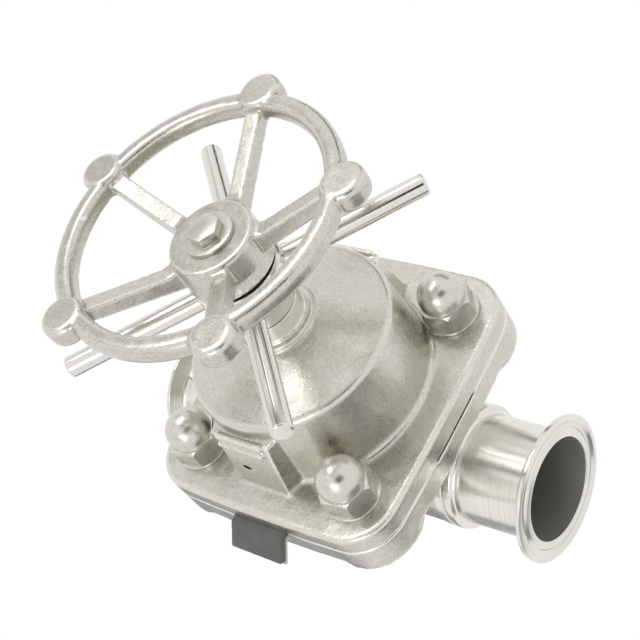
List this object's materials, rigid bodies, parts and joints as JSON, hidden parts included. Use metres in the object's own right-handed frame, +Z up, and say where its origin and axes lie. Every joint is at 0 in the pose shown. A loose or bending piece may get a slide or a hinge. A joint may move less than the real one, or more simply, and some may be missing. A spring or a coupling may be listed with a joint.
{
  "type": "diaphragm valve",
  "caption": "Stainless weir diaphragm valve with clamp ends, square bolted bonnet, capstan lock nut and dished spoked handwheel.",
  "frame": {"origin": "where the stem axis crosses the pipe axis", "axes": "+X along the pipe to the outlet, +Y across it away from the diaphragm tab, +Z up the stem to the handwheel"},
  "size_m": [0.1588, 0.1185, 0.1561],
  "materials": {
    "cast_stainless": "bead-blasted casting, satin",
    "polished_stainless": "polished",
    "machined_stainless": "turned and polished",
    "ptfe": "matt",
    "rubber": "matt",
    "bronze": "turned"
  },
  "bodies": {
    "valve": {"valve_body": "cast_stainless", "inlet_ferrule": "polished_stainless", "outlet_ferrule": "polished_stainless", "diaphragm_facing": "ptfe", "diaphragm_backing": "rubber", "bonnet": "cast_stainless", "spindle_bush": "bronze", "bush_screw": "machined_stainless", "spindle_o_ring": "rubber", "flange_bolts": "machined_stainless", "bolt_washers": "machined_stainless", "nut_washers": "machined_stainless", "dome_nuts": "machined_stainless"},
    "compressor_carriage": {"compressor": "machined_stainless", "compressor_pin": "machined_stainless", "diaphragm_stud": "machined_stainless", "thrust_washer": "bronze"},
    "wheel_assembly": {"handwheel": "cast_stainless", "spindle": "machined_stainless", "wheel_key": "machined_stainless", "wheel_washer": "machined_stainless", "wheel_bolt": "machined_stainless"},
    "collet": {"lock_collet": "machined_stainless"},
    "lock_ring": {"lock_nut": "machined_stainless", "lock_bar_1": "machined_stainless", "lock_bar_2": "machined_stainless", "lock_bar_3": "machined_stainless", "lock_bar_4": "machined_stainless"}
  },
  "joints": [
    {"name": "compressor_lift", "type": "slide", "parent": "valve", "child": "compressor_carriage", "axis": [0, 0, 1], "range_m": [0, 0.01601], "deforming": ["diaphragm_facing", "diaphragm_backing"]},
    {"name": "handwheel_turn", "type": "hinge", "parent": "compressor_carriage", "child": "wheel_assembly", "pos_m": [0, 0, 0.11], "axis": [0, 0, 1], "range_deg": [0, 1152]},
    {"name": "lock_nut_climb", "type": "slide", "parent": "valve", "child": "collet", "axis": [0, 0, 1], "range_m": [0, 0.000501]},
    {"name": "lock_nut_turn", "type": "hinge", "parent": "collet", "child": "lock_ring", "pos_m": [0, 0, 0.0976], "axis": [0, 0, 1], "range_deg": [0, 90]}
  ],
  "couplings": [
    {"joint": "compressor_lift", "follows": "handwheel_turn", "m_per_rad": 0.00079577},
    {"joint": "lock_nut_climb", "follows": "lock_nut_turn", "m_per_rad": 0.00031831}
  ]
}
